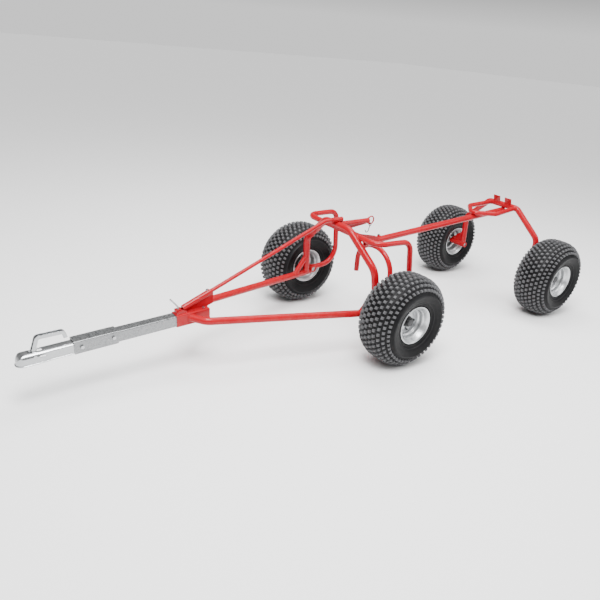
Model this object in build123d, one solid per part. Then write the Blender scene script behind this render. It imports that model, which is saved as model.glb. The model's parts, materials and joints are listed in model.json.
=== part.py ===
from build123d import *
import os
from math import cos, radians, sin

# Four-wheeled game cart, millimetres. +X points to the hitch, +Y to the left, +Z up.
# The origin is on the ground, under the middle of the whole length.

# ---- driving dimensions ----
WHEELBASE = 1554.0
FRONT_TRACK = 1047.0
REAR_TRACK = 981.0
NOSE_AHEAD_OF_FRONT_AXLE = 2000.0

TYRE_R = 279.5
TYRE_HALF_WIDTH = 136.5
BEAD_R = 101.5
RIM_FLANGE_R = 117.5
RIM_HALF_WIDTH = 110.0
RIM_GAUGE = 3.0
DISC_S = 36.0
LUG_PCD = 100.0
LUG_COUNT = 4

AXLE_R = 15.0
RUNNING_CLEARANCE = 0.05
SWIVEL_CLEARANCE = 0.1

MAIN_OD = 42.4
ARCH_OD = 45.0
HOOP_OD = 33.7
STRUT_OD = 22.0
TUBE_WALL = 3.0
THIN_WALL = 2.5

OVERALL_LENGTH = NOSE_AHEAD_OF_FRONT_AXLE + WHEELBASE + TYRE_R
FRONT_AXLE_X = OVERALL_LENGTH / 2 - NOSE_AHEAD_OF_FRONT_AXLE
REAR_AXLE_X = FRONT_AXLE_X - WHEELBASE

SIDES = {"left": 1, "right": -1}

parts = {}


def front(x, y, z):
    """A point whose x is measured forward from the front axle."""
    return Vector(FRONT_AXLE_X + x, y, z)


def rear(x, y, z):
    """A point whose x is measured forward from the rear axle."""
    return Vector(REAR_AXLE_X + x, y, z)


def mirrored(points):
    """The points, then their images across the centre plane in reverse order."""
    return points + [Vector(p.X, -p.Y, p.Z) for p in reversed(points)]


def route(points, radius):
    """Straight runs through the points, with a tangent arc at each corner."""
    if len(points) == 2:
        return Line(*points)
    return FilletPolyline(*points, radius=radius)


def bar(points, diameter, radius=0.0):
    """A solid round bar along a route."""
    path = route(points, radius)
    return sweep(Plane(origin=path @ 0, z_dir=path % 0) * Circle(diameter / 2), path=path)


def tube(points, diameter, wall, radius=0.0):
    """A round tube along a route, open at both ends."""
    return bar(points, diameter, radius) - bar(points, diameter - 2 * wall, radius)


def largest(shape):
    """The biggest solid of a shape that was trimmed into several."""
    return max(shape.solids(), key=lambda solid: solid.volume)


def plate(outline, thickness, y=0.0):
    """A flat plate in the X-Z direction, centred on the given y."""
    lower, upper = y - thickness / 2, y + thickness / 2
    face = make_face(Polyline(*[(p.X, upper, p.Z) for p in outline], close=True))
    return extrude(face, amount=upper - lower, dir=(0, -1, 0))


def hexagon_bolt(across_flats, height, shank_r=0.0, shank=0.0):
    """A hexagon head standing on the plane, with a shank below it."""
    body = extrude(RegularPolygon(across_flats / 2, 6, major_radius=False), height)
    if shank:
        body += Pos(0, 0, -shank / 2) * Cylinder(shank_r, shank)
    return body


def ribbon(points, thickness):
    """A strip of even thickness about a line in (radius, along-axle) coordinates."""
    line = [Vector(r, s) for r, s in points]
    edges = {1: [], -1: []}
    for i, point in enumerate(line):
        before = (point - line[i - 1]).normalized() if i else None
        after = (line[i + 1] - point).normalized() if i + 1 < len(line) else None
        normals = [Vector(-d.Y, d.X) for d in (before, after) if d is not None]
        across = sum(normals[1:], normals[0]).normalized()
        reach = thickness / 2 / across.dot(normals[0])
        for side in edges:
            edges[side].append(point + across * (side * reach))
    return make_face(Polyline(*edges[1], *reversed(edges[-1]), close=True))


def turned(face):
    """A face in (radius, along-axle) coordinates, turned about the axle."""
    return revolve(Plane.XZ * face, axis=Axis.Z)


def ring(outer_r, inner_r, low, high):
    """A plain ring between two stations along the axle."""
    return turned(make_face(Polyline(
        (inner_r, low), (outer_r, low), (outer_r, high), (inner_r, high), close=True)))


def around(count, radius, shape, start=0.0):
    """Copies of a shape, evenly spaced round the axle."""
    step = 360.0 / count
    return [Rot(0, 0, start + i * step) * Pos(radius, 0, 0) * shape for i in range(count)]


# ---- wheels: built about Z, with +Z outboard ----

def tyre():
    """Casing with round shoulders; the tread blocks' tops lie on its outside."""
    bead_s = RIM_HALF_WIDTH - 6.5
    seat_r = BEAD_R + SWIVEL_CLEARANCE
    outside = [(119, bead_s), (150, 126), (200, TYRE_HALF_WIDTH), (243, 109), (272, 66)]
    inside = [(seat_r, 86), (140, 111), (195, 123), (233, 100), (260, 60)]
    crown, lining = (TYRE_R, 0), (267, 0)
    outer = Spline(*outside, crown, *[(r, -s) for r, s in reversed(outside)])
    inner = Spline(*inside, lining, *[(r, -s) for r, s in reversed(inside)])
    beads = [Polyline((119, side * bead_s), (seat_r, side * bead_s), (seat_r, side * 86))
             for side in (1, -1)]
    return turned(make_face([outer, inner] + beads))


def rim():
    edge = RIM_HALF_WIDTH - 4.5
    seat, step, well = BEAD_R - RIM_GAUGE / 2, 90.0, 78.0
    half = [(RIM_FLANGE_R - 1.5, RIM_HALF_WIDTH), (RIM_FLANGE_R - 6, edge), (seat, edge),
            (seat, 82), (step, 74)]
    barrel = half + [(step, 52), (well, 44), (well, -26), (step, -36)]
    barrel += [(r, -s) for r, s in reversed(half)]
    inside_well = well - RIM_GAUGE / 2
    disc = ribbon([(inside_well, DISC_S - 14), (inside_well - 8, DISC_S), (34, DISC_S)], 4.0)
    stud_hole = Pos(0, 0, DISC_S) * Cylinder(7, 20)
    shape = turned(ribbon(barrel, RIM_GAUGE)) + turned(disc)
    for hole in around(LUG_COUNT, LUG_PCD / 2, stud_hole):
        shape -= hole
    return shape


HUB_INNER_S = -44.0
HUB_OUTER_S = 50.0
BEARING_R = 26.0
BEARING_LENGTH = 16.0


def hub():
    shape = ring(33, 20, HUB_INNER_S, HUB_OUTER_S)
    shape += ring(64, 30, DISC_S - 10, DISC_S - 2)
    for low in (HUB_INNER_S, HUB_OUTER_S - BEARING_LENGTH):
        shape -= ring(BEARING_R, 19, low, low + BEARING_LENGTH)
    stud = Pos(0, 0, DISC_S + 6) * Cylinder(5, 24)
    for piece in around(LUG_COUNT, LUG_PCD / 2, stud):
        shape += piece
    return shape


def bearings():
    bore = AXLE_R + RUNNING_CLEARANCE
    return [ring(BEARING_R, bore, low, low + BEARING_LENGTH)
            for low in (HUB_INNER_S, HUB_OUTER_S - BEARING_LENGTH)]


def dust_cap():
    seat = BEARING_R - 1.5
    return turned(ribbon([(30, HUB_OUTER_S + 1.0), (seat, HUB_OUTER_S + 1.0),
                          (seat, HUB_OUTER_S + 17), (16, HUB_OUTER_S + 22), (0.01, HUB_OUTER_S + 22)], 2.0))


def lug_nuts():
    nut = extrude(RegularPolygon(8.5, 6, major_radius=False), 10) - Cylinder(5.1, 30)
    return around(LUG_COUNT, LUG_PCD / 2, Pos(0, 0, DISC_S + 2) * nut)


def stub_axle(root_s):
    """A fixed axle from its root to the outer bearing, with its thread and nut."""
    shaft = turned(make_face(Polyline(
        (0, root_s), (AXLE_R, root_s), (AXLE_R, HUB_OUTER_S), (9, HUB_OUTER_S),
        (9, HUB_OUTER_S + 17), (0, HUB_OUTER_S + 17), close=True)))
    nut = Pos(0, 0, HUB_OUTER_S + 3) * extrude(RegularPolygon(13.5, 6, major_radius=False), 11)
    return shaft, nut - Pos(0, 0, HUB_OUTER_S + 8) * Cylinder(9, 30)


def at_wheel(axle_x, track, side):
    """The frame of one wheel: Z along its axle, pointing outboard."""
    return Plane(origin=(axle_x, side * track / 2, TYRE_R), x_dir=(1, 0, 0), z_dir=(0, side, 0))


AXLES = {"front": (FRONT_AXLE_X, FRONT_TRACK), "rear": (REAR_AXLE_X, REAR_TRACK)}
WHEEL_PIECES = {"tyre": tyre(), "rim": rim(), "hub": hub(), "bearings": bearings(),
                "dust_cap": dust_cap(), "lug_nuts": lug_nuts()}
for end, (axle_x, track) in AXLES.items():
    for hand, side in SIDES.items():
        place = at_wheel(axle_x, track, side)
        for piece, shape in WHEEL_PIECES.items():
            copies = shape if isinstance(shape, list) else [shape]
            parts[f"{piece}_{end}_{hand}"] = [place * copy for copy in copies]

# ---- spindle tubes and stub axles ----
SPINDLE_SPAN = {"front": (338.0, 404.0), "rear": (282.0, 430.0)}
spindle_bars = {}
for end, (axle_x, track) in AXLES.items():
    tubes, axles, nuts = [], [], []
    for hand, side in SIDES.items():
        inner, outer = SPINDLE_SPAN[end]
        ends = [Vector(axle_x, side * y, TYRE_R) for y in (inner, outer)]
        spindle_bars[end, hand] = bar(ends, MAIN_OD)
        root_s = inner + 6 - track / 2
        shaft, nut = stub_axle(root_s)
        tubes.append(spindle_bars[end, hand] - bar(ends, 2 * AXLE_R))
        axles.append(at_wheel(axle_x, track, side) * shaft)
        nuts.append(at_wheel(axle_x, track, side) * nut)
    parts[f"spindle_tubes_{end}"] = tubes
    parts[f"stub_axles_{end}"] = axles
    parts[f"axle_nuts_{end}"] = nuts

# ---- drawbar line: local u runs forward from the receiver's mouth, w is square to it ----
DRAWBAR_TILT = 2.8
RECEIVER_SIZE, RECEIVER_WALL, RECEIVER_LENGTH = 68.0, 3.9, 195.0
BAR_SIZE, BAR_WALL = 60.0, 3.0
SLEEVE_SIZE, SLEEVE_WALL = 70.0, 4.9
SLEEVE_U = (320.0, 537.0)
BAR_U = (-190.0, 430.0)
BAR_TRAVEL = 240.0

drawbar = Plane(origin=front(1200, 0, 295),
                x_dir=(cos(radians(DRAWBAR_TILT)), 0, -sin(radians(DRAWBAR_TILT))), z_dir=(0, -1, 0))


def along(u, w, v=0.0):
    """A point on the drawbar line: u forward, w up, v to the left."""
    return drawbar.from_local_coords(Vector(u, w, -v))


def square_bar(span, size, corner=6.0):
    low, high = span
    section = Plane(origin=along(low, 0), x_dir=(0, 1, 0), z_dir=drawbar.x_dir)
    return extrude(section * RectangleRounded(size, size, corner), high - low)


def square_tube(span, size, wall, corner=6.0):
    return square_bar(span, size, corner) - square_bar(span, size - 2 * wall, max(corner - wall, 1.0))


def upward(u, w, v=0.0):
    """A plane at (u, w) that faces up, square to the drawbar line."""
    return Plane(origin=along(u, w, v), x_dir=drawbar.x_dir, z_dir=drawbar.y_dir)


receiver_solid = square_bar((-RECEIVER_LENGTH, 0), RECEIVER_SIZE)
RECEIVER_TOP = RECEIVER_SIZE / 2
parts["receiver"] = square_tube((-RECEIVER_LENGTH, 0), RECEIVER_SIZE, RECEIVER_WALL)
parts["drawbar_tube"] = square_tube(BAR_U, BAR_SIZE, BAR_WALL)
bar_path = square_bar((BAR_U[0] - BAR_TRAVEL, 0), BAR_SIZE + 1.0)
parts["coupler_sleeve"] = square_tube(SLEEVE_U, SLEEVE_SIZE, SLEEVE_WALL)

# ---- lower A-frame tubes, from the receiver's sides to the front spindles ----
lower_bars = {}
for hand, side in SIDES.items():
    points = [front(1122, side * 24, 303), front(1064, side * 110, 303.5), front(6, side * 374, 257)]
    lower_bars[hand] = bar(points, MAIN_OD, 70)
    lower = tube(points, MAIN_OD, TUBE_WALL, 70) - receiver_solid - spindle_bars["front", hand]
    parts[f"lower_tube_{hand}"] = largest(lower)

# ---- main arch over the front axle ----
ARCH_TOP = Vector(126, 116, 711)
arch_half = [front(52, 356, 268), front(88, 333, 522), front(ARCH_TOP.X, ARCH_TOP.Y, ARCH_TOP.Z)]
ARCH_RADII = [105, 85, 85, 105]
arch_bar = bar(mirrored(arch_half), ARCH_OD, ARCH_RADII)
arch = tube(mirrored(arch_half), ARCH_OD, TUBE_WALL, ARCH_RADII)
for hand in SIDES:
    arch -= spindle_bars["front", hand]
    arch -= lower_bars[hand]
parts["front_arch"] = largest(arch)

# ---- upper hoop: spindle, rear leg, side rail, then across behind the arch's top ----
hoop_half = [front(6, 363, 287), front(-208, 363, 303), front(-158, 349, 678),
             front(98, 334, 681)]
HOOP_RADII = [115, 66, 78, 78, 66, 115]
hoop_bar = bar(mirrored(hoop_half), HOOP_OD, HOOP_RADII)
hoop = tube(mirrored(hoop_half), HOOP_OD, THIN_WALL, HOOP_RADII) - arch_bar
for hand in SIDES:
    hoop -= spindle_bars["front", hand]
    hoop -= lower_bars[hand]
parts["upper_hoop"] = largest(hoop)

# ---- short braces from the lower tubes to the arch's legs ----
braces = []
for hand, side in SIDES.items():
    ends = [front(160, side * 336, 270), front(66, side * 346, 390)]
    braces.append(largest(tube(ends, HOOP_OD, THIN_WALL) - lower_bars[hand] - arch_bar))
parts["braces"] = braces

# ---- strut from the receiver to the top of the arch ----
STRUT_SLOPE = 0.42
SOCKET_LENGTH = 178.0
strut_end_z = ARCH_TOP.Z + ARCH_OD / 2 + STRUT_OD / 2
STRUT_FOOT_X, STRUT_FOOT_Z = 1154.0, 353.3
strut_foot = front(STRUT_FOOT_X, 0, STRUT_FOOT_Z)
strut_head = front(STRUT_FOOT_X - (strut_end_z - STRUT_FOOT_Z) / STRUT_SLOPE, 0, strut_end_z)
strut_line = (strut_head - strut_foot).normalized()
strut_up = Vector(strut_line.Z, 0, -strut_line.X)

socket_ends = [strut_foot, strut_foot + strut_line * SOCKET_LENGTH]
socket_bar = bar(socket_ends, HOOP_OD)
socket = largest(socket_bar - bar(socket_ends, STRUT_OD) - receiver_solid)
strut_end = front(95, 0, strut_end_z)
strut = tube([strut_foot + strut_line * 80, strut_head, strut_end], STRUT_OD, THIN_WALL, 60)

# Short collar on the strut's rear end, welded to the arch's top.
COLLAR_OD, COLLAR_LENGTH, WELD_GAP = 30.0, 78.0, 0.15
collar_ends = [strut_end, strut_end + Vector(COLLAR_LENGTH, 0, 0)]
arch_space = bar(mirrored(arch_half), ARCH_OD + 2 * WELD_GAP, ARCH_RADII)
collar = largest(bar(collar_ends, COLLAR_OD) - bar(collar_ends, STRUT_OD) - arch_space)

# Gusset under the strut's socket, standing on the receiver.
gusset = plate([front(1140, 0, 358), front(972, 0, 428), front(972, 0, 352), front(1004, 0, 342),
                front(1010, 0, 320), front(1140, 0, 320)], 8)
gusset = largest(gusset - receiver_solid - bar_path - socket_bar - bar([strut_foot, strut_head], STRUT_OD))

# Bolt through the strut's socket, square to the strut.
BOLT_FROM_FOOT = 165.0
bolt_seat = Plane(origin=strut_foot + strut_line * BOLT_FROM_FOOT + strut_up * (HOOP_OD / 2),
                  x_dir=(0, 1, 0), z_dir=strut_up)
bolt_hole = bolt_seat * Pos(0, 0, -6) * Cylinder(4, 12)
parts["strut_socket"] = [socket - bolt_hole, gusset, collar]
parts["strut_tube"] = strut - bolt_hole
receiver_seat = upward(-166, RECEIVER_TOP, 15)
parts["receiver"] -= receiver_seat * Pos(0, 0, -RECEIVER_WALL / 2) * Cylinder(5, RECEIVER_WALL + 1)
parts["frame_bolts"] = [bolt_seat * hexagon_bolt(13, 6, 4, 12),
                        receiver_seat * hexagon_bolt(15, 8, 5, RECEIVER_WALL)]

# ---- clamp at the receiver's mouth: a boss, a screw and its bent handle ----
CLAMP_U = -22.0
BOSS_HEIGHT = 24.0
boss_plane = upward(CLAMP_U, RECEIVER_TOP)
screw_hole = boss_plane * Cylinder(7.05, 3 * BOSS_HEIGHT)
boss = boss_plane * extrude(RectangleRounded(34, 30, 5), BOSS_HEIGHT)
ears = [plate([along(-10, RECEIVER_TOP), along(-10, RECEIVER_TOP + 14), along(-40, RECEIVER_TOP + 24),
               along(-66, RECEIVER_TOP + 10), along(-66, RECEIVER_TOP)], 5, y) for y in (-19.5, 19.5)]
parts["clamp_boss"] = [boss - screw_hole] + ears
parts["receiver"] -= boss_plane * Pos(0, 0, -RECEIVER_WALL / 2) * Cylinder(7.05, RECEIVER_WALL + 4)
screw_foot = boss_plane * Pos(0, 0, -RECEIVER_WALL + 0.2)
SCREW_LENGTH = BOSS_HEIGHT + RECEIVER_WALL + 6
handle_base = along(CLAMP_U, RECEIVER_TOP + BOSS_HEIGHT + 1)
handle_tip = along(CLAMP_U + 41, RECEIVER_TOP + BOSS_HEIGHT + 66)
screw = screw_foot * extrude(Circle(7), SCREW_LENGTH)
screw += bar([handle_base, along(CLAMP_U, RECEIVER_TOP + BOSS_HEIGHT + 14), handle_tip], 9, 9)
parts["clamp_screw"] = screw

# ---- bolts of the coupler's sleeve ----
SLEEVE_TOP = SLEEVE_SIZE / 2
SLEEVE_BOLT_R = 5.0


def side_seat(u, w, side):
    """A plane on the sleeve's left or right face, facing out."""
    return Plane(origin=along(u, w, side * SLEEVE_TOP), x_dir=drawbar.x_dir, z_dir=(0, side, 0))


sleeve_seats = [upward(u, SLEEVE_TOP) for u in (409, 446)]
sleeve_seats += [side_seat(u, w, side) for u, w in ((343, 6), (500, 0)) for side in SIDES.values()]
parts["sleeve_bolts"] = [seat * hexagon_bolt(17, 9, SLEEVE_BOLT_R, 10) for seat in sleeve_seats]

# ---- ball coupler: a pressed shell with a thick cup for the ball ----
BALL_R = 25.0
BALL_U, BALL_W = 762.0, -12.0
BODY_TAIL_U, BODY_BOTTOM, BODY_TOP = 470.0, -26.0, 26.0
TAIL_HALF, CUP_HALF, BODY_WALL = 30.0, 36.0, 4.0
SHOULDER_R = 25.0
FLANGE_THICKNESS, FLANGE_REACH = 4.0, 5.0


def plan_outline(margin):
    """The coupler seen from above, grown by the margin, or shrunk by a negative one."""
    tail, cup, tail_u = TAIL_HALF + margin, CUP_HALF + margin, BODY_TAIL_U + abs(margin)
    straight = Polyline((BALL_U, cup), (BALL_U - 60, cup), (640, tail), (tail_u, tail),
                        (tail_u, -tail), (640, -tail), (BALL_U - 60, -cup), (BALL_U, -cup))
    return make_face([straight, ThreePointArc((BALL_U, -cup), (BALL_U + cup, 0), (BALL_U, cup))])


def side_outline(margin):
    """The coupler seen from the left, shrunk by the margin, open below when shrunk."""
    floor = BODY_BOTTOM - (20 if margin else 0)
    top, nose_u = BODY_TOP - margin, BALL_U + CUP_HALF - margin
    line = Polyline((nose_u, BODY_BOTTOM + 12), (nose_u, floor), (BODY_TAIL_U + margin, floor),
                    (BODY_TAIL_U + margin, top), (BALL_U - 26, top))
    crown = ThreePointArc((BALL_U - 26, top), (BALL_U + 15, top - 10), (nose_u, BODY_BOTTOM + 12))
    return make_face([line, crown])


def coupler_block(margin):
    """The coupler's solid shape, from its plan, its side view and its round shoulders."""
    reach = 60
    plan = Plane(origin=along(0, -reach), x_dir=drawbar.x_dir, z_dir=drawbar.y_dir)
    ends = Plane(origin=along(0, BODY_TOP - reach), x_dir=(0, 1, 0), z_dir=drawbar.x_dir)
    round_top = RectangleRounded(2 * (CUP_HALF - margin), 2 * (reach - margin), SHOULDER_R - margin)
    tall = extrude(plan * plan_outline(-margin), 2 * reach)
    wide = extrude(drawbar * side_outline(margin), amount=reach, both=True)
    return tall & wide & extrude(ends * round_top, BALL_U + reach)


def on_drawbar(u, w, shape):
    """A shape made in the drawbar's centre plane, moved to (u, w)."""
    return drawbar * Pos(u, w, 0) * shape


ball_centre = along(BALL_U, BALL_W)
cup_plane = upward(BALL_U, BALL_W)
outer_block = coupler_block(0.0)
hollow = coupler_block(BODY_WALL) - cup_plane * Cylinder(34, 200)
coupler = outer_block - hollow
flange_plane = upward(0, BODY_BOTTOM - FLANGE_THICKNESS)
flange = extrude(flange_plane * plan_outline(FLANGE_REACH), FLANGE_THICKNESS)
flange -= extrude(flange_plane * plan_outline(-BODY_WALL), FLANGE_THICKNESS)
ahead_of_sleeve = on_drawbar(BALL_U, 0, Box(2 * (BALL_U - SLEEVE_U[1] - 8), 200, 200))
coupler += flange & ahead_of_sleeve
coupler -= cup_plane * Pos(0, 0, -20) * Cylinder(BALL_R + 0.7, 40)
coupler -= Pos(*ball_centre) * Sphere(BALL_R + 0.6)

HANDLE_PIVOT = (714.0, 8.0)
PIN_R, PIN_HEAD_R, PIN_HEAD = 5.0, 8.0, 3.0
coupler -= on_drawbar(HANDLE_PIVOT[0] - 6, 19, Box(62, 38, 30))
JAW_LENGTH, JAW_HEIGHT, JAW_WIDTH = 46.0, 14.0, 40.0
JAW_U, JAW_W = 713.0, -13.0
coupler -= on_drawbar(JAW_U + 6, JAW_W, Box(JAW_LENGTH + 24, JAW_HEIGHT + 1, JAW_WIDTH + 1))
pivot_plane = Plane(origin=along(*HANDLE_PIVOT), x_dir=drawbar.x_dir, z_dir=(0, 1, 0))
coupler -= pivot_plane * Cylinder(PIN_R, 2 * CUP_HALF + 10)
coupler -= on_drawbar(678, 5, extrude(SlotOverall(30, 8), amount=60, both=True))

pin = pivot_plane * Cylinder(PIN_R, 2 * (CUP_HALF + PIN_HEAD))
for side in SIDES.values():
    pin += pivot_plane * Pos(0, 0, side * (CUP_HALF + PIN_HEAD / 2 + 0.1)) * Cylinder(PIN_HEAD_R, PIN_HEAD)
parts["coupler_pivot_pin"] = pin

# Every sleeve bolt's hole goes through the sleeve and what lies inside it.
for seat in sleeve_seats:
    bolt_space = seat * Pos(0, 0, -5) * Cylinder(SLEEVE_BOLT_R, 10)
    parts["coupler_sleeve"] -= bolt_space
    parts["drawbar_tube"] -= bolt_space
    coupler -= bolt_space
parts["coupler_body"] = largest(coupler)

# Handle: a folded channel with two ears on the pivot pin.
HANDLE_WIDTH, HANDLE_DEPTH, HANDLE_GAUGE = 26.0, 18.0, 3.0
handle_line = [(HANDLE_PIVOT[0], 30.0), (692, 92), (570, 90), (564, 58)]


def handle_block(width, depth):
    path = FilletPolyline(*[along(u, w) for u, w in handle_line], radius=16)
    section = Plane(origin=path @ 0, x_dir=(0, 1, 0), z_dir=path % 0)
    return section, path, sweep(section * Rectangle(width, depth), path=path)


section, handle_path, handle = handle_block(HANDLE_WIDTH, HANDLE_DEPTH)
groove = sweep(section * Pos(0, -HANDLE_GAUGE) * Rectangle(HANDLE_WIDTH - 2 * HANDLE_GAUGE, HANDLE_DEPTH),
               path=handle_path)
handle -= groove
ear_outline = [(-9, -9), (9, -9), (9, 26), (-9, 26)]
for side in (1, -1):
    ear = plate([along(HANDLE_PIVOT[0] + u, HANDLE_PIVOT[1] + w) for u, w in ear_outline], HANDLE_GAUGE,
                side * (HANDLE_WIDTH - HANDLE_GAUGE) / 2)
    handle += ear
handle -= pivot_plane * Cylinder(5 + RUNNING_CLEARANCE, 80)
parts["coupler_handle"] = handle

# Locking jaw behind the ball, sliding back as the handle lifts.
jaw = on_drawbar(JAW_U, JAW_W, Box(JAW_LENGTH, JAW_HEIGHT, JAW_WIDTH))
parts["coupler_jaw"] = largest(jaw - Pos(*ball_centre) * Sphere(BALL_R + 1.0))

# ---- swivel: a sleeve under the hoop that holds the backbone ----
BACKBONE_SLOPE = 0.067
SWIVEL_OD, SWIVEL_LENGTH, SWIVEL_SETBACK = 51.0, 125.0, 10.0
PIN_FROM_START = 117.0
PLUNGER_R, PLUNGER_TRAVEL = 5.0, 12.0
backbone_start = front(-125, 0, 564)
back = Vector(-1, 0, BACKBONE_SLOPE).normalized()
backbone_up = Vector(BACKBONE_SLOPE, 0, 1).normalized()


def on_backbone(distance, lift=0.0):
    """A point on the backbone's axis, or lifted square to it in the centre plane."""
    return backbone_start + back * distance + backbone_up * lift


sleeve_ends = [on_backbone(SWIVEL_SETBACK), on_backbone(SWIVEL_SETBACK + SWIVEL_LENGTH)]
swivel_bar = bar(sleeve_ends, SWIVEL_OD)
swivel_bore = bar(sleeve_ends, MAIN_OD + 2 * SWIVEL_CLEARANCE)
pin_plane = Plane(origin=on_backbone(PIN_FROM_START, MAIN_OD / 2), x_dir=(0, 1, 0), z_dir=backbone_up)
pin_boss = pin_plane * Pos(0, 0, 1.5) * extrude(Circle(10), 9)
swivel = swivel_bar + pin_boss - swivel_bore
swivel -= pin_plane * Cylinder(PLUNGER_R + RUNNING_CLEARANCE, 60)
parts["swivel_sleeve"] = largest(swivel)

# The plunger's tip stands in the backbone's groove, and its head is above the boss.
GROOVE_DEPTH, GROOVE_WIDTH = 2.8, 12.0
plunger = pin_plane * Pos(0, 0, 0.5 - GROOVE_DEPTH) * extrude(Circle(PLUNGER_R), 16)
plunger += pin_plane * Pos(0, 0, 11) * extrude(Circle(8), 4)
parts["swivel_pin"] = plunger

# Hanger plates from the hoop and arch down to the swivel sleeve.
hanger_outline = [front(112, 0, 684), front(80, 0, 690), front(40, 0, 678), front(-95, 0, 622),
                  front(-225, 0, 596), front(-225, 0, 576), front(-150, 0, 568), front(-60, 0, 590),
                  front(60, 0, 660)]
backbone_space = bar([on_backbone(-6), on_backbone(SWIVEL_SETBACK)], MAIN_OD + 6)
parts["swivel_hangers"] = [
    largest(plate(hanger_outline, 6, y) - swivel_bar - backbone_space - arch_bar - hoop_bar)
    for y in (-17.0, 17.0)]

# Cradle: an inverted U under the swivel sleeve, with its feet cut square.
cradle_half = [front(-238, 164, 300), front(-222, 153, 528)]
cradle = tube(mirrored(cradle_half), HOOP_OD, THIN_WALL, 150) - swivel_bar
parts["cradle"] = largest(cradle)

# ---- lifting arm, its gusset, eye and hook ----
ARM_Z, ARM_FRONT_X, ARM_BACK_X, ARM_CAP = 713.0, 112.0, -128.0, 6.0
arm_bar = bar([front(ARM_FRONT_X, 0, ARM_Z), front(ARM_BACK_X, 0, ARM_Z)], HOOP_OD)
arm_bore = bar([front(ARM_FRONT_X, 0, ARM_Z), front(ARM_BACK_X + ARM_CAP, 0, ARM_Z)],
               HOOP_OD - 2 * THIN_WALL)
arm = largest(arm_bar - arm_bore - hoop_bar - arch_bar - bar(collar_ends, COLLAR_OD))
arm_gusset = plate([front(80, 0, 712), front(-108, 0, 712), front(-108, 0, 694), front(22, 0, 678),
                    front(62, 0, 674), front(80, 0, 690)], 8)
arm_gusset = largest(arm_gusset - arm_bar - hoop_bar - arch_bar)
parts["lift_arm"] = [arm, arm_gusset]

EYE_R, EYE_WIRE_R = 24.5, 4.2
eye_centre = front(-149, 0, ARM_Z + 1)
eye = Plane(origin=eye_centre, z_dir=(0, 1, 0)) * Torus(EYE_R, EYE_WIRE_R)
parts["lift_eye"] = largest(eye - arm_bar)

# Tie hook: a wire loop on the eye, a shank and a small upturned end.
HOOK_WIRE = 5.0
HOOK_LOOP_R = 10.0
hook_top = eye_centre + Vector(2, 0, -EYE_R)
loop_plane = Plane(origin=hook_top + Vector(0, 0, -(HOOK_LOOP_R - HOOK_WIRE / 2 - EYE_WIRE_R - 0.8)),
                   x_dir=(0, 1, 0), z_dir=(1, 0, 0))
hook = loop_plane * Torus(HOOK_LOOP_R, HOOK_WIRE / 2)
shank_start = loop_plane.origin + Vector(0, 0, -HOOK_LOOP_R)
hook += bar([shank_start, shank_start + Vector(8, 0, -34), shank_start + Vector(26, 0, -46),
             shank_start + Vector(34, 0, -26)], HOOK_WIRE, 9)
parts["tie_hook"] = hook

# ---- rear frame ----
REAR_TOP = Vector(20, 126, 701)
rear_half = [rear(-12, 318, 286), rear(-10, 331, 512), rear(REAR_TOP.X, REAR_TOP.Y, REAR_TOP.Z)]
REAR_RADII = [80, 55, 55, 80]
rear_arch_bar = bar(mirrored(rear_half), MAIN_OD, REAR_RADII)
rear_arch = tube(mirrored(rear_half), MAIN_OD, TUBE_WALL, REAR_RADII)
for hand in SIDES:
    rear_arch -= spindle_bars["rear", hand]
parts["rear_arch"] = largest(rear_arch)

BACKBONE_WALL = 5.0
backbone_points = [backbone_start,
                   on_backbone((rear(REAR_TOP.X - 14, 0, 0).X - backbone_start.X) / back.X)]
backbone_bar = bar(backbone_points, MAIN_OD)
groove_floor = MAIN_OD / 2 - GROOVE_DEPTH
pin_groove = ring(60, groove_floor, -GROOVE_WIDTH / 2, GROOVE_WIDTH / 2)
backbone = tube(backbone_points, MAIN_OD, BACKBONE_WALL) - rear_arch_bar
backbone -= Plane(origin=on_backbone(PIN_FROM_START), z_dir=back) * pin_groove
parts["backbone"] = largest(backbone)

loop = tube([rear(REAR_TOP.X, 104, 697), rear(262, 124, 680), rear(394, 0, 671),
             rear(262, -124, 680), rear(REAR_TOP.X, -104, 697)], HOOP_OD, THIN_WALL, [42, 46, 42])
parts["rear_loop"] = largest(loop - rear_arch_bar - backbone_bar)

# Load lugs: two plates that stand on the arch's top and lean forward.
LUG_WIDTH, LUG_HEIGHT, LUG_GAUGE, LUG_LEAN = 56.0, 54.0, 6.0, 18.0
lugs = []
for side in SIDES.values():
    blade = Plane(origin=rear(REAR_TOP.X + 12, side * 50, REAR_TOP.Z + 10), x_dir=(0, 1, 0),
                  z_dir=(cos(radians(LUG_LEAN)), 0, -sin(radians(LUG_LEAN))))
    lug = blade * Pos(0, LUG_HEIGHT / 2, 0) * Box(LUG_WIDTH, LUG_HEIGHT, LUG_GAUGE)
    lugs.append(largest(lug - rear_arch_bar))
parts["load_lugs"] = lugs

# Webs between the arch's feet and the rear spindles.
webs = []
for hand, side in SIDES.items():
    outline = [(312, 404), (430, 300), (430, 280), (290, 258), (290, 330)]
    web = extrude(make_face(Polyline(*[rear(-8, side * y, z) for y, z in outline], close=True)),
                  amount=8, dir=(1, 0, 0))
    webs.append(largest(web - rear_arch_bar - spindle_bars["rear", hand]))
parts["rear_webs"] = webs

# ---- write one file for each node ----
os.makedirs("parts", exist_ok=True)
for name, shape in parts.items():
    solids = shape if isinstance(shape, list) else [shape]
    solids = [solid for piece in solids for solid in piece.solids()]
    export_step(solids[0] if len(solids) == 1 else Compound(children=solids), f"parts/{name}.step")
print(len(parts), "nodes")
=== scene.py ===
"""The game cart's looks: tyres with tread blocks, pressed rims, weld beads and materials."""
import json
from math import cos, pi, radians, sin

import bmesh
import bpy
from mathutils import Matrix, Quaternion, Vector
from mathutils.bvhtree import BVHTree


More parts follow.
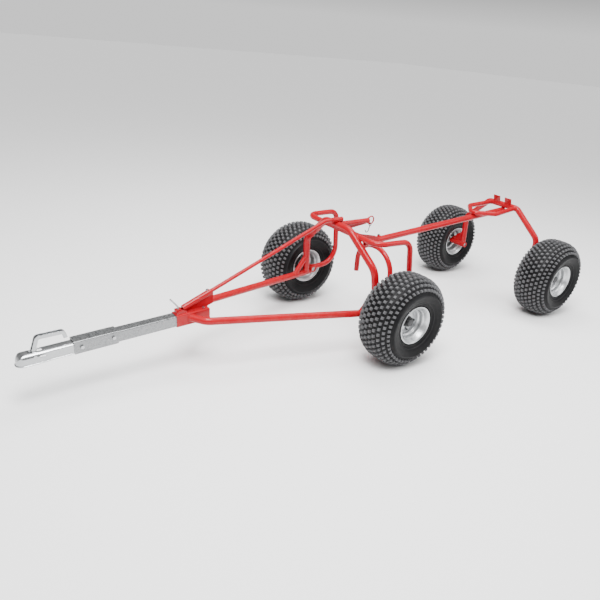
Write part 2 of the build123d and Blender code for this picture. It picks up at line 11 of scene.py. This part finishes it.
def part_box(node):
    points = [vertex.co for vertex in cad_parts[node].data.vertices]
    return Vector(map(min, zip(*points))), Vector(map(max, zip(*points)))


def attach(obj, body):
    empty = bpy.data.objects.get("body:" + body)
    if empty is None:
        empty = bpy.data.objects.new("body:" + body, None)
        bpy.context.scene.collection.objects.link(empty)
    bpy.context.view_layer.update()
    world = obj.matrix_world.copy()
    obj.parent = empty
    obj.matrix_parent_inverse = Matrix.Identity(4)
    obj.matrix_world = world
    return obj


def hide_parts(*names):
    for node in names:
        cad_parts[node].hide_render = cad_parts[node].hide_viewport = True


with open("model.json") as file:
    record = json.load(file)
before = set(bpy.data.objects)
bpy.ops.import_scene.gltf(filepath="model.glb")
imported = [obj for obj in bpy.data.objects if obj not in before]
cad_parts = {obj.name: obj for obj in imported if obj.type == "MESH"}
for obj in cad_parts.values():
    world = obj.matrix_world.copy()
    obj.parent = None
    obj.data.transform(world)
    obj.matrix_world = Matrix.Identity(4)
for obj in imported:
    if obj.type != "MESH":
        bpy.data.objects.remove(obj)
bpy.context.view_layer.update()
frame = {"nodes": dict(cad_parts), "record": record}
nodes = frame["nodes"]
record = frame["record"]

SIDES = {"left": 1, "right": -1}
WHEELS = [(end, hand) for end in ("front", "rear") for hand in SIDES]
SHARP_ANGLE = radians(40)


# ---- small helpers ----

def piece_from(bm, name, body, material):
    """Turns a bmesh into a piece that rides on a body and wears a material."""
    mesh = bpy.data.meshes.new(name)
    bm.normal_update()
    bm.to_mesh(mesh)
    bm.free()
    obj = bpy.data.objects.new(name, mesh)
    bpy.context.scene.collection.objects.link(obj)
    mesh.materials.append(material)
    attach(obj, body)
    return obj


def shade(obj):
    """Smooth shading, with edges sharper than SHARP_ANGLE kept sharp."""
    obj.data.shade_smooth()
    obj.data.set_sharp_from_angle(angle=SHARP_ANGLE)


def apply_modifiers(obj):
    """Bakes an object's modifiers into its mesh."""
    graph = bpy.context.evaluated_depsgraph_get()
    baked = bpy.data.meshes.new_from_object(obj.evaluated_get(graph))
    obj.modifiers.clear()
    obj.data = baked


def middle(node):
    """The centre of a node's box."""
    low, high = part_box(node)
    return (Vector(low) + Vector(high)) / 2


# ---- materials ----

class Recipe:
    """A principled material, with short calls for its procedural nodes."""

    def __init__(self, name, **sockets):
        self.material = bpy.data.materials.new(name)
        self.material.use_nodes = True
        self.tree = self.material.node_tree
        self.shader = self.tree.nodes["Principled BSDF"]
        for socket, value in sockets.items():
            self.shader.inputs[socket.replace("_", " ")].default_value = value
        self.coordinates = self.tree.nodes.new("ShaderNodeTexCoord").outputs["Object"]

    def link(self, source, node, socket):
        self.tree.links.new(source, node.inputs[socket])

    def noise(self, scale, detail=4.0, roughness=0.5, stretch=(1, 1, 1)):
        """Fractal noise at so many features to the metre."""
        mapping = self.tree.nodes.new("ShaderNodeMapping")
        mapping.inputs["Scale"].default_value = stretch
        self.link(self.coordinates, mapping, "Vector")
        node = self.tree.nodes.new("ShaderNodeTexNoise")
        node.inputs["Scale"].default_value = scale
        node.inputs["Detail"].default_value = detail
        node.inputs["Roughness"].default_value = roughness
        self.link(mapping.outputs["Vector"], node, "Vector")
        return node.outputs["Fac"]

    def cells(self, scale):
        """One random grey for each Voronoi cell, as in the crystals of a zinc coat."""
        node = self.tree.nodes.new("ShaderNodeTexVoronoi")
        node.inputs["Scale"].default_value = scale
        self.link(self.coordinates, node, "Vector")
        grey = self.tree.nodes.new("ShaderNodeSeparateColor")
        self.link(node.outputs["Color"], grey, "Color")
        return grey.outputs["Red"]

    def edges(self):
        """How convex the surface is: 0.5 on a flat, more on an edge."""
        return self.tree.nodes.new("ShaderNodeNewGeometry").outputs["Pointiness"]

    def height(self):
        """The height above the ground, in metres."""
        split = self.tree.nodes.new("ShaderNodeSeparateXYZ")
        self.link(self.coordinates, split, "Vector")
        return split.outputs["Z"]

    def ramp(self, factor, *stops):
        """A ramp of (position, grey or colour) stops."""
        node = self.tree.nodes.new("ShaderNodeValToRGB")
        elements = node.color_ramp.elements
        while len(elements) < len(stops):
            elements.new(0.5)
        for element, (position, value) in zip(elements, stops):
            element.position = position
            element.color = (*value, 1) if isinstance(value, tuple) else (value, value, value, 1)
        self.link(factor, node, "Fac")
        return node.outputs["Color"]

    def mix(self, factor, first, second, mode="MIX"):
        """Two colours or sockets, mixed by a factor or a socket."""
        node = self.tree.nodes.new("ShaderNodeMix")
        node.data_type = "RGBA"
        node.blend_type = mode
        for socket, value in (("Factor", factor), ("A", first), ("B", second)):
            index = next(i for i, s in enumerate(node.inputs) if s.name == socket
                         and s.type == ("VALUE" if socket == "Factor" else "RGBA"))
            if isinstance(value, bpy.types.NodeSocket):
                self.tree.links.new(value, node.inputs[index])
            else:
                node.inputs[index].default_value = value if socket == "Factor" else (*value, 1)
        return next(s for s in node.outputs if s.type == "RGBA")

    def bump(self, height, distance, strength=1.0):
        """Adds a bump of that depth in metres, on top of any earlier bump."""
        node = self.tree.nodes.new("ShaderNodeBump")
        node.inputs["Distance"].default_value = distance
        node.inputs["Strength"].default_value = strength
        self.link(height, node, "Height")
        if self.shader.inputs["Normal"].links:
            self.link(self.shader.inputs["Normal"].links[0].from_socket, node, "Normal")
        self.link(node.outputs["Normal"], self.shader, "Normal")

    def colour(self, source):
        self.link(source, self.shader, "Base Color")

    def roughness(self, source):
        self.link(source, self.shader, "Roughness")


def red_powder_coat():
    """Gloss red coat: orange peel, faint shade changes, chips on edges, road dust low down."""
    made = Recipe("red_powder_coat", Coat_Weight=0.32, Coat_Roughness=0.07, Specular_IOR_Level=0.06)
    shade_noise = made.noise(9, 3)
    base = made.mix(shade_noise, (0.31, 0.0003, 0.006), (0.40, 0.0006, 0.010))
    speckle = made.noise(420, 2, 0.7)
    chips = made.mix(1.0, made.ramp(made.edges(), (0.56, 0.0), (0.66, 1.0)),
                     made.ramp(speckle, (0.58, 0.0), (0.66, 1.0)), "MULTIPLY")
    worn = made.mix(chips, base, (0.16, 0.05, 0.04))
    low = made.ramp(made.height(), (0.22, 0.22), (0.34, 0.0))
    drift = made.ramp(made.noise(38, 6, 0.65), (0.42, 0.0), (0.72, 1.0))
    dust = made.mix(1.0, low, drift, "MULTIPLY")
    made.colour(made.mix(dust, worn, (0.42, 0.20, 0.14)))
    made.roughness(made.ramp(made.noise(60, 5), (0.3, 0.24), (0.75, 0.38)))
    made.bump(made.noise(650, 2), 0.00012, 0.6)
    return made.material


def galvanised():
    """Hot-dip zinc: grey crystals of different brightness, drips and dull patches."""
    made = Recipe("galvanised_steel", Metallic=0.85)
    crystals = made.cells(150)
    base = made.mix(crystals, (0.20, 0.205, 0.21), (0.29, 0.295, 0.30))
    patches = made.ramp(made.noise(14, 5, 0.6), (0.40, 0.0), (0.70, 0.5))
    made.colour(made.mix(patches, base, (0.26, 0.265, 0.27)))
    made.roughness(made.mix(crystals, (0.24, 0.24, 0.24), (0.42, 0.42, 0.42)))
    made.bump(made.noise(160, 3), 0.0002, 0.5)
    return made.material


def zinc_plate(name, tint, rough):
    """Bright zinc plate on a pressing or a bolt, a little cloudy, with painted shade in its hollows."""
    made = Recipe(name, Metallic=0.9)
    cloud = made.noise(70, 5, 0.6)
    dull = tuple(0.72 * c for c in tint)
    base = made.mix(cloud, dull, tint)
    # Painted shade: the colour darkens where the surface is concave, in hollows and creases.
    hollow_shade = made.ramp(made.edges(), (0.40, 1.0), (0.49, 0.0))
    made.colour(made.mix(hollow_shade, base, tuple(0.35 * c for c in tint)))
    made.roughness(made.ramp(cloud, (0.3, rough), (0.8, rough + 0.16)))
    made.bump(made.noise(520, 3), 0.00010, 0.6)
    return made.material


def wheel_silver():
    """Silver wheel paint: fine flake, and painted shade in the corners, broken up by noise."""
    made = Recipe("wheel_silver", Metallic=0.75, Coat_Weight=0.3, Coat_Roughness=0.2)
    flake = made.noise(900, 2, 0.8)
    base = made.mix(flake, (0.44, 0.45, 0.46), (0.62, 0.63, 0.64))
    # Painted shade: darker where the surface is concave, in the corners and creases, in noisy patches.
    corner_shade = made.ramp(made.edges(), (0.38, 0.8), (0.49, 0.0))
    patchy_corner_shade = made.mix(1.0, corner_shade, made.ramp(made.noise(45, 5), (0.35, 0.3), (0.7, 1.0)), "MULTIPLY")
    made.colour(made.mix(patchy_corner_shade, base, (0.20, 0.19, 0.18)))
    made.roughness(made.ramp(made.noise(55, 4), (0.3, 0.26), (0.7, 0.40)))
    made.bump(made.noise(700, 2), 0.00006, 0.5)
    return made.material


def tyre_rubber():
    """Satin black rubber with fine grain, block edges paler with scuffing and a painted highlight, and
    a little dust.
    """
    made = Recipe("tyre_rubber", Specular_IOR_Level=0.09)
    grain = made.noise(240, 6, 0.7)
    base = made.mix(grain, (0.004, 0.004, 0.0045), (0.010, 0.010, 0.011))
    # Paler block edges: partly scuffing, partly a painted highlight standing in for light on the block
    # tops.
    scuff_and_highlight = made.ramp(made.edges(), (0.505, 0.0), (0.60, 0.75))
    scuffed_and_lit = made.mix(scuff_and_highlight, base, (0.120, 0.120, 0.125))
    dust = made.ramp(made.noise(26, 6, 0.7), (0.45, 0.0), (0.80, 0.30))
    made.colour(made.mix(dust, scuffed_and_lit, (0.030, 0.028, 0.026)))
    made.roughness(made.ramp(grain, (0.3, 0.36), (0.7, 0.54)))
    made.bump(grain, 0.00035, 0.5)
    return made.material


def dark_metal(name, tint, rough, metallic):
    """Dark satin metal, such as a painted hub, with a mottled finish."""
    made = Recipe(name, Metallic=metallic)
    mottle = made.noise(120, 5, 0.6)
    made.colour(made.mix(mottle, tuple(0.6 * c for c in tint), tuple(1.3 * c for c in tint)))
    made.roughness(made.ramp(mottle, (0.3, rough), (0.7, rough + 0.15)))
    made.bump(made.noise(400, 4), 0.00012, 0.5)
    return made.material


MATERIALS = {
    "frame_red": red_powder_coat(),
    "galvanised_steel": galvanised(),
    "zinc_plate": zinc_plate("zinc_plate", (0.50, 0.51, 0.52), 0.15),
    "wheel_silver": wheel_silver(),
    "tyre_rubber": tyre_rubber(),
    "hub_black": dark_metal("hub_black", (0.030, 0.030, 0.032), 0.34, 0.2),
    "axle_steel": dark_metal("axle_steel", (0.36, 0.36, 0.37), 0.32, 0.9),
    "hook_wire": dark_metal("hook_wire", (0.075, 0.085, 0.095), 0.34, 0.5),
}

slot_of = {entry["node"]: entry["material_slot"] for entry in record["subparts"]}
for name, obj in nodes.items():
    for index in range(len(obj.material_slots)):
        obj.material_slots[index].material = MATERIALS[slot_of[name]]


# ---- wheels: profiles of (radius, along-axis) points, each turned about its own axis ----

SEGMENTS = 128


def turned(profile, closed, segments=SEGMENTS):
    """A surface of revolution about the local Z axis, from a list of (r, s) points."""
    bm = bmesh.new()
    rings = []
    for i in range(segments):
        angle = 2 * pi * i / segments
        rings.append([bm.verts.new((r * cos(angle), r * sin(angle), s)) for r, s in profile])
    count = len(profile)
    spans = count if closed else count - 1
    for i in range(segments):
        here, there = rings[i], rings[(i + 1) % segments]
        for j in range(spans):
            k = (j + 1) % count
            bm.faces.new((here[j], there[j], there[k], here[k]))
    bmesh.ops.recalc_face_normals(bm, faces=bm.faces)
    return bm


def rounded(points, radius, steps):
    """The points' open outline with each corner between its ends turned into a small curve."""
    corners = [Vector(point) for point in points]
    out = [tuple(corners[0])]
    for before, here, after in zip(corners, corners[1:], corners[2:]):
        back, ahead = before - here, after - here
        reach = min(radius, 0.45 * back.length, 0.45 * ahead.length)
        first, last = here + back.normalized() * reach, here + ahead.normalized() * reach
        for step in range(steps + 1):
            t = step / steps
            out.append(tuple(first.lerp(here, t).lerp(here.lerp(last, t), t)))
    return out + [tuple(corners[-1])]


def at_wheel(node, side):
    """Moves local wheel coordinates, with +Z outboard, to a wheel."""
    return Matrix.Translation(middle(node)) @ Matrix.Rotation(-side * pi / 2, 4, "X")


def wheel_piece(bm, name, end, hand, slot):
    """Places a wheel piece, and lets it stand for its CAD node where there is one."""
    node = f"{name}_{end}_{hand}"
    bmesh.ops.transform(bm, matrix=at_wheel(f"tyre_{end}_{hand}", SIDES[hand]), verts=bm.verts)
    if SIDES[hand] < 0:
        bmesh.ops.recalc_face_normals(bm, faces=bm.faces)
    obj = piece_from(bm, f"{node}_look", f"{end}_{hand}_wheel", MATERIALS[slot])
    if node in nodes:
        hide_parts(node)
    shade(obj)
    return obj


tyre_low, tyre_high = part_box("tyre_front_left")
TYRE_R = (tyre_high[2] - tyre_low[2]) / 2
HALF_WIDTH = (tyre_high[1] - tyre_low[1]) / 2
rim_low, rim_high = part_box("rim_front_left")
FLANGE_R = (rim_high[2] - rim_low[2]) / 2
FLANGE_S = (rim_high[1] - rim_low[1]) / 2

# The tread's curve: how much of the radius is lost at the edge, how sharply it falls away,
# and how far across the tyre it reaches, where 1 is the side.
SHOULDER_DROP = 0.268
SHOULDER_POWER = 3.2
TREAD_HALF = 0.965
SLOPE_STEP = 0.001
FINE_STEPS, CASING_STEPS = 400, 48

BLOCK_ROWS = 10
BLOCKS_AROUND = 48
BLOCK_HEIGHT = 0.0115
BLOCK_WIDTH, BLOCK_LENGTH = 0.0150, 0.0160
BLOCK_LEAN = 0.0012
# A block's foot, chamfer and top, each with its spread and its height from the crown.
BLOCK_LEVELS = ((1.22, -BLOCK_HEIGHT - 0.0015), (1.0, -0.0018), (0.82, 0.0))

RIM_GAUGE = 0.0028
SEAT_R = 0.1005
VALVE_FOOT = (0.0870, 0, 0.050)
VALVE_TILT = radians(-28)


def crown(t):
    """The tread's outside at t, from -1 to 1 across the tyre, as (radius, along-axle)."""
    return TYRE_R * (1 - SHOULDER_DROP * abs(t) ** SHOULDER_POWER), HALF_WIDTH * t


def crown_frame(t):
    """A point on the tread's outside, with its outward normal, both in (r, s)."""
    r, s = crown(t)
    r_next, s_next = crown(t + SLOPE_STEP)
    along = Vector((r_next - r, s_next - s)).normalized()
    return Vector((r, s)), Vector((along.y, -along.x))


def row_stations():
    """Where the block rows stand: evenly spaced along the tread's curve, not across it."""
    fine = [-TREAD_HALF + 2 * TREAD_HALF * i / FINE_STEPS for i in range(FINE_STEPS + 1)]
    walked = [0.0]
    for a, b in zip(fine, fine[1:]):
        walked.append(walked[-1] + (Vector(crown(b)) - Vector(crown(a))).length)
    targets = [walked[-1] * (row + 0.5) / BLOCK_ROWS for row in range(BLOCK_ROWS)]
    nearest = [min(range(FINE_STEPS + 1), key=lambda i: abs(walked[i] - target)) for target in targets]
    return [fine[i] for i in nearest]


def casing_profile():
    """The tyre's skin: the base between the blocks, the sidewalls with ribs, and the beads."""
    base = []
    for i in range(CASING_STEPS + 1):
        t = -TREAD_HALF + 2 * TREAD_HALF * i / CASING_STEPS
        point, normal = crown_frame(t)
        base.append(tuple(point - normal * BLOCK_HEIGHT))
    shoulder_r, shoulder_s = base[-1]
    bulge = HALF_WIDTH - 0.0015
    wall = [(shoulder_r - 0.008, shoulder_s + 0.0055), (0.193, bulge), (0.189, bulge + 0.0012),
            (0.185, bulge), (0.172, bulge - 0.004), (0.158, 0.1275), (0.146, 0.1212),
            (0.1425, 0.1212), (0.139, 0.1168), (0.130, 0.1112), (0.126, 0.1112),
            (FLANGE_R + 0.0045, 0.1068), (FLANGE_R + 0.001, FLANGE_S - 0.0075),
            (0.108, FLANGE_S - 0.0075)]
    sidewall = rounded([base[-1]] + wall, 0.004, 3)[1:]
    inner = [(0.104, 0.088), (0.140, 0.111), (0.195, 0.122), (0.233, 0.099), (0.256, 0.06)]
    lining = inner + [(TYRE_R - 0.017, 0.0)] + [(r, -s) for r, s in reversed(inner)]
    return base + sidewall + lining + [(r, -s) for r, s in reversed(sidewall)]


def tread_block(bm, t, angle, lean):
    """One tapered block with a chamfered top, standing on the casing."""
    point, normal = crown_frame(t)
    across = Vector((-normal.y, normal.x))
    rings = []
    for spread, lift in BLOCK_LEVELS:
        ring = []
        for u, v in ((-1, -1), (1, -1), (1, 1), (-1, 1)):
            r, s = point + normal * lift + across * (u * BLOCK_WIDTH / 2 * spread)
            turn = angle + (v * BLOCK_LENGTH / 2 * spread + u * lean) / TYRE_R
            ring.append(bm.verts.new((r * cos(turn), r * sin(turn), s)))
        rings.append(ring)
    for low, high in zip(rings, rings[1:]):
        for i in range(4):
            bm.faces.new((low[i], low[(i + 1) % 4], high[(i + 1) % 4], high[i]))
    bm.faces.new(rings[-1])


def tyre_mesh():
    """The casing with its staggered rows of tread blocks."""
    bm = turned(casing_profile(), closed=True)
    for row, t in enumerate(row_stations()):
        side = 1 if row < BLOCK_ROWS / 2 else -1
        for i in range(BLOCKS_AROUND):
            angle = 2 * pi * (i + 0.5 * (row % 2)) / BLOCKS_AROUND
            tread_block(bm, t, angle, side * BLOCK_LEAN)
    bmesh.ops.recalc_face_normals(bm, faces=bm.faces)
    return bm


def rim_mesh():
    """The rim's barrel: rolled lips, bead seats, steps and the drop centre, then its disc."""
    half = [(FLANGE_R - 0.0060, FLANGE_S - 0.0075), (FLANGE_R - 0.0016, FLANGE_S - 0.0045),
            (FLANGE_R - 0.0018, FLANGE_S - 0.0015), (0.1120, FLANGE_S - 0.0018),
            (0.1072, FLANGE_S - 0.0065), (SEAT_R + 0.0015, 0.0960), (SEAT_R - 0.0035, 0.0845),
            (0.0905, 0.0755), (0.0885, 0.0555), (0.0795, 0.0470)]
    inboard = [(0.0795, -0.026), (0.0885, -0.036), (0.0905, -0.0745), (SEAT_R - 0.0035, -0.083)]
    inboard += [(r, -s) for r, s in reversed(half[:6])]
    barrel = rounded(half + inboard, 0.0032, 4)
    bm = turned(barrel, closed=False)
    disc = [(0.0795, 0.030), (0.0775, 0.0335), (0.0715, 0.0355), (0.0640, 0.0345), (0.0580, 0.0385),
            (0.0520, 0.0400), (0.0345, 0.0400)]
    plate = turned(rounded(disc, 0.003, 3), closed=False)
    joined = bpy.data.meshes.new("disc")
    plate.to_mesh(joined)
    plate.free()
    bm.from_mesh(joined)
    bpy.data.meshes.remove(joined)
    return bm


def thickened(obj, thickness):
    """Gives a pressed sheet its gauge."""
    solid = obj.modifiers.new("gauge", "SOLIDIFY")
    solid.thickness = thickness
    solid.offset = 0.0
    apply_modifiers(obj)
    shade(obj)


def valve_mesh():
    """A rubber valve stem with its cap, standing in the drop centre."""
    profile = [(0.0032, 0.030), (0.0036, 0.0285), (0.0036, 0.021), (0.0026, 0.0205),
               (0.0028, 0.008), (0.0048, 0.003), (0.0062, 0.0)]
    bm = turned(profile, closed=False, segments=20)
    placed = Matrix.Translation(VALVE_FOOT) @ Matrix.Rotation(VALVE_TILT, 4, "Y")
    bmesh.ops.transform(bm, matrix=placed, verts=bm.verts)
    return bm


def cap_mesh():
    """The hub's pressed dust cap, with a rolled bead at its root."""
    low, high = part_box("dust_cap_front_left")
    start, end = (s - middle("tyre_front_left")[1] for s in (low[1], high[1]))
    profile = [(0.0255, start), (0.0298, start + 0.0008), (0.0298, start + 0.0032),
               (0.0262, start + 0.0042), (0.0256, end - 0.0075), (0.0225, end - 0.0022),
               (0.0150, end - 0.0004), (0.0004, end - 0.0001)]
    return turned(rounded(profile, 0.0022, 4), closed=False, segments=64)


for end, hand in WHEELS:
    wheel_piece(tyre_mesh(), "tyre", end, hand, "tyre_rubber")
    rim_look = wheel_piece(rim_mesh(), "rim", end, hand, "wheel_silver")
    thickened(rim_look, RIM_GAUGE)
    wheel_piece(valve_mesh(), "valve_stem", end, hand, "tyre_rubber")
    wheel_piece(cap_mesh(), "dust_cap", end, hand, "hub_black")


# ---- weld beads, found where one tube's trimmed end lies on another part ----

CONTACT = 0.0009
BEAD_R = 0.0030
BEAD_STEP = 0.0011
BEAD_SIDES = 8
WIDEST_BEAD = 1.3 * BEAD_R
# The ripples and the slower wander of a bead's radius: share of it, and turn at each step.
RIPPLE, RIPPLE_TURN = 0.16, 0.62
WANDER, WANDER_TURN = 0.10, 0.087


def welded_copy(node):
    """A node's mesh with its split vertices joined, so that its faces know each other."""
    bm = bmesh.new()
    bm.from_mesh(nodes[node].data)
    bmesh.ops.remove_doubles(bm, verts=bm.verts, dist=1e-5)
    return bm


def seam_edges(bm, partners):
    """The edges between the faces that lie on the partners and the faces that don't."""
    trees = []
    for partner in partners:
        other = welded_copy(partner)
        trees.append(BVHTree.FromBMesh(other))
        other.free()

    def on_partner(point):
        return any(tree.find_nearest(point, CONTACT)[0] is not None for tree in trees)

    near = {v: on_partner(v.co) for v in bm.verts}
    contact = {f: all(near[v] for v in f.verts) and on_partner(f.calc_center_median())
               for f in bm.faces}
    return [e for e in bm.edges if len(e.link_faces) == 2
            and contact[e.link_faces[0]] != contact[e.link_faces[1]]]


def chained(edges):
    """The edges as chains of vertices, each grown first at its end and then at its start."""
    links = {}
    for edge in edges:
        for vert in edge.verts:
            links.setdefault(vert, []).append(edge)
    chains, used = [], set()
    for edge in edges:
        if edge in used:
            continue
        used.add(edge)
        chain = [edge.verts[0], edge.verts[1]]
        for at_end in (True, False):
            while True:
                tip = chain[-1] if at_end else chain[0]
                step = next((e for e in links[tip] if e not in used), None)
                if step is None:
                    break
                used.add(step)
                chain.insert(len(chain) if at_end else 0, step.other_vert(tip))
        chains.append(chain)
    return chains


def seam_loops(trimmed, partners):
    """The outlines of the trimmed part's faces that lie on its partners."""
    bm = welded_copy(trimmed)
    loops = [[v.co.copy() for v in chain] for chain in chained(seam_edges(bm, partners))]
    bm.free()
    return loops


def length_of(line):
    """The length of a line of points."""
    return sum((b - a).length for a, b in zip(line, line[1:]))


def resampled(line, step):
    """The line's points at even spacing."""
    total = length_of(line)
    count = max(4, round(total / step))
    points, walked, index = [], 0.0, 0
    for i in range(count + 1):
        target = total * i / count
        while index < len(line) - 2 and walked + (line[index + 1] - line[index]).length < target:
            walked += (line[index + 1] - line[index]).length
            index += 1
        span = (line[index + 1] - line[index]).length
        t = (target - walked) / span if span > 1e-9 else 0.0
        points.append(line[index].lerp(line[index + 1], min(max(t, 0.0), 1.0)))
    return points


def bead_mesh(bm, line):
    """A weld bead along a line: overlapping ripples, a little uneven, thin at open ends."""
    points = resampled(line, BEAD_STEP)
    closed = (line[0] - line[-1]).length < 1e-4
    rings = []
    previous = None
    for i, point in enumerate(points):
        ahead = points[min(i + 1, len(points) - 1)]
        behind = points[max(i - 1, 0)]
        along = (ahead - behind).normalized()
        guide = previous if previous is not None else along.orthogonal()
        side = (guide - along * guide.dot(along)).normalized()
        previous = side
        up = along.cross(side)
        radius = BEAD_R * (1 + RIPPLE * abs(sin(i * RIPPLE_TURN)) + WANDER * sin(i * WANDER_TURN + 1.3))
        if not closed:
            radius *= min(1.0, 0.35 + 0.22 * min(i, len(points) - 1 - i))
        rings.append([bm.verts.new(point + (side * cos(a) + up * sin(a)) * radius)
                      for a in (2 * pi * k / BEAD_SIDES for k in range(BEAD_SIDES))])
    for here, there in zip(rings, rings[1:]):
        for k in range(BEAD_SIDES):
            after = (k + 1) % BEAD_SIDES
            bm.faces.new((here[k], here[after], there[after], there[k]))
    for cap in (rings[0], rings[-1]):
        bm.faces.new(cap)


SEAMS = {
    "front_frame": [
        ("lower_tube_left", ["receiver"]), ("lower_tube_right", ["receiver"]),
        ("lower_tube_left", ["spindle_tubes_front"]), ("lower_tube_right", ["spindle_tubes_front"]),
        ("front_arch", ["lower_tube_left", "lower_tube_right", "spindle_tubes_front"]),
        ("upper_hoop", ["lower_tube_left", "lower_tube_right", "spindle_tubes_front"]),
        ("upper_hoop", ["front_arch"]),
        ("braces", ["lower_tube_left", "lower_tube_right"]), ("braces", ["front_arch"]),
        ("strut_socket", ["receiver"]), ("clamp_boss", ["receiver"]),
        ("swivel_hangers", ["front_arch"]), ("swivel_hangers", ["upper_hoop"]),
        ("swivel_hangers", ["swivel_sleeve"]), ("cradle", ["swivel_sleeve"]),
        ("lift_arm", ["front_arch"]), ("lift_arm", ["upper_hoop"]), ("lift_eye", ["lift_arm"]),
    ],
    "rear_frame": [
        ("rear_arch", ["spindle_tubes_rear"]), ("backbone", ["rear_arch"]),
        ("rear_loop", ["rear_arch"]), ("rear_loop", ["backbone"]), ("load_lugs", ["rear_arch"]),
        ("rear_webs", ["rear_arch"]), ("rear_webs", ["spindle_tubes_rear"]),
    ],
}

SHORTEST_SEAM = 0.018
BAR_HALF = 0.030
bar_middle = middle("drawbar_tube")
slide_axis = next(Vector(joint["axis"]) for joint in record["behaviour"]["joints"]
                  if joint["name"] == "drawbar_slide")


def in_bar_path(point):
    """Whether a bead here would stand in the sliding drawbar's way."""
    away = point - bar_middle
    away -= slide_axis * away.dot(slide_axis)
    reach = BAR_HALF + WIDEST_BEAD
    return abs(away.y) < reach and Vector((away.x, away.z)).length < reach


def clear_runs(line):
    """The stretches of a line that leave the drawbar's path free."""
    runs = [[]]
    for point in resampled(line, BEAD_STEP):
        if in_bar_path(point):
            runs.append([])
        else:
            runs[-1].append(point)
    return runs


for body, seams in SEAMS.items():
    beads = bmesh.new()
    for trimmed, partners in seams:
        for loop in seam_loops(trimmed, partners):
            for line in clear_runs(loop):
                if length_of(line) > SHORTEST_SEAM:
                    bead_mesh(beads, line)
    bmesh.ops.recalc_face_normals(beads, faces=beads.faces)
    welds = piece_from(beads, f"{body}_welds", body, MATERIALS["frame_red"])
    welds.data.shade_smooth()


# ---- coupler: the pressed body and handle with softly rounded edges ----

def add_softened(node, body, voxel):
    """A copy of a CAD node whose edges are rounded as on a pressing, which replaces it."""
    copy = bpy.data.objects.new(f"{node}_look", nodes[node].data.copy())
    bpy.context.scene.collection.objects.link(copy)
    remesh = copy.modifiers.new("skin", "REMESH")
    remesh.mode = "VOXEL"
    remesh.voxel_size = voxel
    smooth = copy.modifiers.new("soften", "SMOOTH")
    smooth.iterations = 4
    smooth.factor = 0.5
    apply_modifiers(copy)
    copy.data.materials.clear()
    copy.data.materials.append(MATERIALS[slot_of[node]])
    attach(copy, body)
    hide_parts(node)
    copy.data.shade_smooth()


add_softened("coupler_body", "drawbar", 0.0014)
add_softened("coupler_handle", "coupler_handle", 0.0009)


# ---- stage, lights and camera ----

CAMERA_AT = Vector((2.3547, 2.6319, 1.7186))
LOOKS_AT = Vector((0.6518, 0.4745, 0.5162))
ROLL = radians(5.46)
LENS = 35.48


def add_floor():
    """A wide, plain pale floor."""
    bm = bmesh.new()
    bmesh.ops.create_grid(bm, x_segments=1, y_segments=1, size=60)
    mesh = bpy.data.meshes.new("floor")
    bm.to_mesh(mesh)
    bm.free()
    floor = bpy.data.objects.new("floor", mesh)
    bpy.context.scene.collection.objects.link(floor)
    paint = Recipe("floor_paint", Roughness=0.7)
    paint.shader.inputs["Base Color"].default_value = (0.95, 0.95, 0.95, 1)
    mesh.materials.append(paint.material)


def add_light(name, at, aim, size, power):
    """A soft rectangular light, aimed at a point."""
    light = bpy.data.lights.new(name, "AREA")
    light.shape = "RECTANGLE"
    light.size, light.size_y = size
    light.energy = power
    lamp = bpy.data.objects.new(name, light)
    lamp.location = at
    lamp.rotation_euler = (Vector(aim) - Vector(at)).to_track_quat("-Z", "Y").to_euler()
    bpy.context.scene.collection.objects.link(lamp)


def add_sky_light():
    """A very soft light from above, the same over the whole floor."""
    light = bpy.data.lights.new("sky", "SUN")
    light.energy = 2.4
    light.angle = radians(70)
    lamp = bpy.data.objects.new("sky", light)
    lamp.rotation_euler = (radians(-12), radians(14), 0)
    bpy.context.scene.collection.objects.link(lamp)


def add_camera():
    """The camera, aimed at LOOKS_AT and then rolled a little."""
    data = bpy.data.cameras.new("camera")
    data.lens = LENS
    camera = bpy.data.objects.new("camera", data)
    camera.location = CAMERA_AT
    facing = (LOOKS_AT - CAMERA_AT).to_track_quat("-Z", "Y")
    camera.rotation_mode = "QUATERNION"
    camera.rotation_quaternion = facing @ Quaternion((0, 0, 1), ROLL)
    bpy.context.scene.collection.objects.link(camera)
    bpy.context.scene.camera = camera


def add_world():
    """A pale surround with a dark band above the horizon, for the metal to reflect."""
    world = bpy.data.worlds.new("studio")
    world.use_nodes = True
    tree = world.node_tree
    direction = tree.nodes.new("ShaderNodeTexCoord").outputs["Generated"]
    split = tree.nodes.new("ShaderNodeSeparateXYZ")
    tree.links.new(direction, split.inputs["Vector"])
    sky = tree.nodes.new("ShaderNodeValToRGB")
    for position in (0.14, 0.36):
        sky.color_ramp.elements.new(position)
    bands = ((0.04, 1.0), (0.14, 0.18), (0.36, 0.18), (0.75, 0.62))
    for element, (position, grey) in zip(sky.color_ramp.elements, bands):
        element.position = position
        element.color = (grey, grey, grey, 1)
    tree.links.new(split.outputs["Z"], sky.inputs["Fac"])
    tree.links.new(sky.outputs["Color"], tree.nodes["Background"].inputs["Color"])
    tree.nodes["Background"].inputs["Strength"].default_value = 0.95
    bpy.context.scene.world = world


add_floor()
add_light("key", (1.6, 1.6, 4.6), (0.2, 0.0, 0.3), (2.2, 2.2), 380)
add_light("fill", (-3.2, 3.0, 3.0), (-0.6, 0.0, 0.4), (2.6, 2.2), 70)
add_sky_light()
add_light("top", (-1.4, -0.8, 4.6), (-0.6, 0.0, 0.3), (4.0, 1.8), 200)
add_world()
add_camera()
